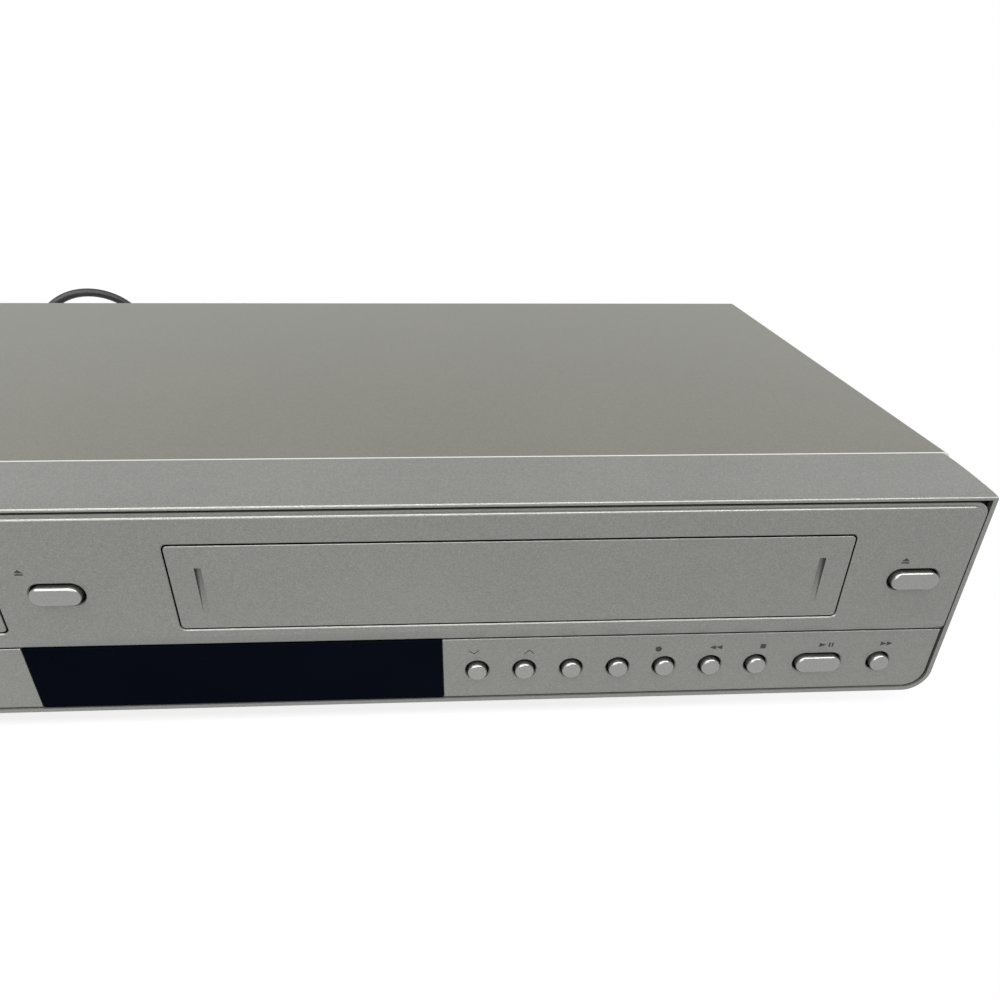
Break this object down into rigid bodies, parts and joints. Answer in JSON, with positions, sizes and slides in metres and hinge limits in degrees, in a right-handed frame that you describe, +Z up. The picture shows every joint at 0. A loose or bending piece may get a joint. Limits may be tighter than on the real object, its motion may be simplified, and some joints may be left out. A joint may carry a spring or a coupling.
{
  "type": "dvd vcr combo player",
  "caption": "Slim silver disc and cassette player with a sliding disc tray, a hinged tape door, a dark display strip, push keys, rear sockets and a coiled mains lead.",
  "frame": {"origin": "centre of the machine's box (without its mains lead) on the surface it stands on", "axes": "+X along the width to the right seen from the front, +Y from the front to the back, +Z up"},
  "size_m": [0.4314, 0.3312, 0.0845],
  "materials": {
    "cover_paint": "fine metallic silver-grey paint on sheet steel, satin",
    "silver_plastic": "silver-grey metallic paint on moulded plastic, satin",
    "key_plastic": "bright silver paint on moulded keys, semi-gloss",
    "window": "smoked clear window, near black, high gloss",
    "zinc_steel": "bare zinc-plated sheet steel",
    "black_plastic": "moulded black plastic, fine texture",
    "tray_plastic": "dark grey moulded plastic, satin",
    "white_plastic": "natural white acetal, satin",
    "board": "green circuit board with solder mask",
    "drum_aluminium": "turned and polished aluminium",
    "rubber": "black rubber, matte",
    "cord_pvc": "black flexible mains sheath, satin",
    "socket_metal": "nickel-plated socket metal",
    "screw_steel": "plated screw steel"
  },
  "bodies": {
    "case": {"top_cover": "cover_paint", "front_bezel": "silver_plastic", "upper_fascia": "silver_plastic", "lower_left_panel": "silver_plastic", "button_panel": "silver_plastic", "display_window": "window", "bottom_chassis": "zinc_steel", "rear_panel": "zinc_steel", "deck_chassis": "zinc_steel", "clamp_bridge": "zinc_steel", "tuner_module": "zinc_steel", "deck_motor": "zinc_steel", "loader_motor": "zinc_steel", "flap_spring": "zinc_steel", "carriage_rails": "zinc_steel", "feet": "black_plastic", "loader_frame": "black_plastic", "rear_sockets": "black_plastic", "front_board": "board", "main_board": "board", "power_board": "board", "drum_base": "drum_aluminium", "loader_belt": "rubber", "strain_relief": "cord_pvc", "power_cord": "cord_pvc", "cord_coil": "cord_pvc", "cord_tie": "cord_pvc", "power_plug": "cord_pvc", "front_av_sockets": "socket_metal", "case_screws": "screw_steel"},
    "disc_tray": {"disc_tray": "tray_plastic", "tray_front": "silver_plastic"},
    "tray_gear": {"tray_gear": "white_plastic"},
    "cassette_flap": {"cassette_flap": "silver_plastic"},
    "traverse_deck": {"sled_base": "zinc_steel", "spindle_motor": "zinc_steel", "guide_rods": "zinc_steel"},
    "turntable": {"turntable": "black_plastic"},
    "pickup_sled": {"pickup_sled": "black_plastic"},
    "lead_screw": {"lead_screw": "zinc_steel"},
    "disc_clamp": {"disc_clamp": "black_plastic"},
    "cassette_carriage": {"cassette_carriage": "zinc_steel"},
    "head_drum": {"head_drum": "drum_aluminium"},
    "capstan": {"capstan": "socket_metal"},
    "pinch_arm": {"pinch_arm": "zinc_steel"},
    "pinch_roller": {"pinch_roller": "rubber"},
    "supply_reel_table": {"supply_reel_table": "black_plastic"},
    "take_up_reel_table": {"take_up_reel_table": "black_plastic"},
    "power_button": {"power_button": "key_plastic"},
    "open_close_button": {"open_close_button": "key_plastic"},
    "eject_button": {"eject_button": "key_plastic"},
    "channel_down_button": {"channel_down_button": "key_plastic"},
    "channel_up_button": {"channel_up_button": "key_plastic"},
    "source_button": {"source_button": "key_plastic"},
    "view_button": {"view_button": "key_plastic"},
    "record_button": {"record_button": "key_plastic"},
    "rewind_button": {"rewind_button": "key_plastic"},
    "stop_button": {"stop_button": "key_plastic"},
    "play_pause_button": {"play_pause_button": "key_plastic"},
    "fast_forward_button": {"fast_forward_button": "key_plastic"}
  },
  "joints": [
    {"name": "tray_slide", "type": "slide", "parent": "case", "child": "disc_tray", "axis": [0, -1, 0], "range_m": [0, 0.135]},
    {"name": "tray_gear_spin", "type": "hinge", "parent": "case", "child": "tray_gear", "pos_m": [-0.1855, -0.08715, 0.042], "axis": [0, 0, 1], "range_deg": [0, 860]},
    {"name": "flap_swing", "type": "hinge", "parent": "case", "child": "cassette_flap", "pos_m": [0.076, -0.11235, 0.0711], "axis": [1, 0, 0], "range_deg": [0, 80], "stiffness_Nm_per_rad": 0.004, "springref_deg": -17.19},
    {"name": "carriage_slide", "type": "slide", "parent": "case", "child": "cassette_carriage", "axis": [0, 1, 0], "range_m": [0, 0.036]},
    {"name": "deck_tilt", "type": "hinge", "parent": "case", "child": "traverse_deck", "pos_m": [-0.1405, 0.04185, 0.0352], "axis": [-1, 0, 0], "range_deg": [0, 5.5]},
    {"name": "turntable_spin", "type": "hinge", "parent": "traverse_deck", "child": "turntable", "pos_m": [-0.1405, -0.04315, 0.038], "axis": [0, 0, 1], "continuous": true},
    {"name": "pickup_slide", "type": "slide", "parent": "traverse_deck", "child": "pickup_sled", "axis": [0, 1, 0], "range_m": [0, 0.033]},
    {"name": "lead_screw_spin", "type": "hinge", "parent": "traverse_deck", "child": "lead_screw", "pos_m": [-0.1095, 0.00285, 0.0335], "axis": [0, 1, 0], "range_deg": [0, 3980]},
    {"name": "clamp_spin", "type": "hinge", "parent": "case", "child": "disc_clamp", "pos_m": [-0.1405, -0.04315, 0.058], "axis": [0, 0, 1], "continuous": true},
    {"name": "drum_spin", "type": "hinge", "parent": "case", "child": "head_drum", "pos_m": [0.076, 0.05085, 0.048], "axis": [0, 0, 1], "continuous": true},
    {"name": "capstan_spin", "type": "hinge", "parent": "case", "child": "capstan", "pos_m": [0.136, 0.02885, 0.038], "axis": [0, 0, 1], "continuous": true},
    {"name": "pinch_arm_swing", "type": "hinge", "parent": "case", "child": "pinch_arm", "pos_m": [0.1485, 0.05885, 0.036], "axis": [0, 0, -1], "range_deg": [0, 5]},
    {"name": "pinch_roller_spin", "type": "hinge", "parent": "pinch_arm", "child": "pinch_roller", "pos_m": [0.1485, 0.02885, 0.043], "axis": [0, 0, 1], "continuous": true},
    {"name": "supply_reel_spin", "type": "hinge", "parent": "case", "child": "supply_reel_table", "pos_m": [0.03, -0.03315, 0.033], "axis": [0, 0, 1], "continuous": true},
    {"name": "take_up_reel_spin", "type": "hinge", "parent": "case", "child": "take_up_reel_table", "pos_m": [0.122, -0.03315, 0.033], "axis": [0, 0, 1], "continuous": true},
    {"name": "power_press", "type": "slide", "parent": "case", "child": "power_button", "axis": [0, 1, 0], "range_m": [0, 0.0008], "stiffness_N_per_m": 400, "springref_m": -0.001},
    {"name": "open_close_press", "type": "slide", "parent": "case", "child": "open_close_button", "axis": [0, 1, 0], "range_m": [0, 0.0008], "stiffness_N_per_m": 400, "springref_m": -0.001},
    {"name": "eject_press", "type": "slide", "parent": "case", "child": "eject_button", "axis": [0, 1, 0], "range_m": [0, 0.0008], "stiffness_N_per_m": 400, "springref_m": -0.001},
    {"name": "channel_down_press", "type": "slide", "parent": "case", "child": "channel_down_button", "axis": [0, 1, 0], "range_m": [0, 0.0008], "stiffness_N_per_m": 400, "springref_m": -0.001},
    {"name": "channel_up_press", "type": "slide", "parent": "case", "child": "channel_up_button", "axis": [0, 1, 0], "range_m": [0, 0.0008], "stiffness_N_per_m": 400, "springref_m": -0.001},
    {"name": "source_press", "type": "slide", "parent": "case", "child": "source_button", "axis": [0, 1, 0], "range_m": [0, 0.0008], "stiffness_N_per_m": 400, "springref_m": -0.001},
    {"name": "view_press", "type": "slide", "parent": "case", "child": "view_button", "axis": [0, 1, 0], "range_m": [0, 0.0008], "stiffness_N_per_m": 400, "springref_m": -0.001},
    {"name": "record_press", "type": "slide", "parent": "case", "child": "record_button", "axis": [0, 1, 0], "range_m": [0, 0.0008], "stiffness_N_per_m": 400, "springref_m": -0.001},
    {"name": "rewind_press", "type": "slide", "parent": "case", "child": "rewind_button", "axis": [0, 1, 0], "range_m": [0, 0.0008], "stiffness_N_per_m": 400, "springref_m": -0.001},
    {"name": "stop_press", "type": "slide", "parent": "case", "child": "stop_button", "axis": [0, 1, 0], "range_m": [0, 0.0008], "stiffness_N_per_m": 400, "springref_m": -0.001},
    {"name": "play_pause_press", "type": "slide", "parent": "case", "child": "play_pause_button", "axis": [0, 1, 0], "range_m": [0, 0.0008], "stiffness_N_per_m": 400, "springref_m": -0.001},
    {"name": "fast_forward_press", "type": "slide", "parent": "case", "child": "fast_forward_button", "axis": [0, 1, 0], "range_m": [0, 0.0008], "stiffness_N_per_m": 400, "springref_m": -0.001}
  ],
  "couplings": [
    {"joint": "tray_gear_spin", "follows": "tray_slide", "rad_per_m": 111.11},
    {"joint": "lead_screw_spin", "follows": "pickup_slide", "rad_per_m": 2094.4}
  ]
}
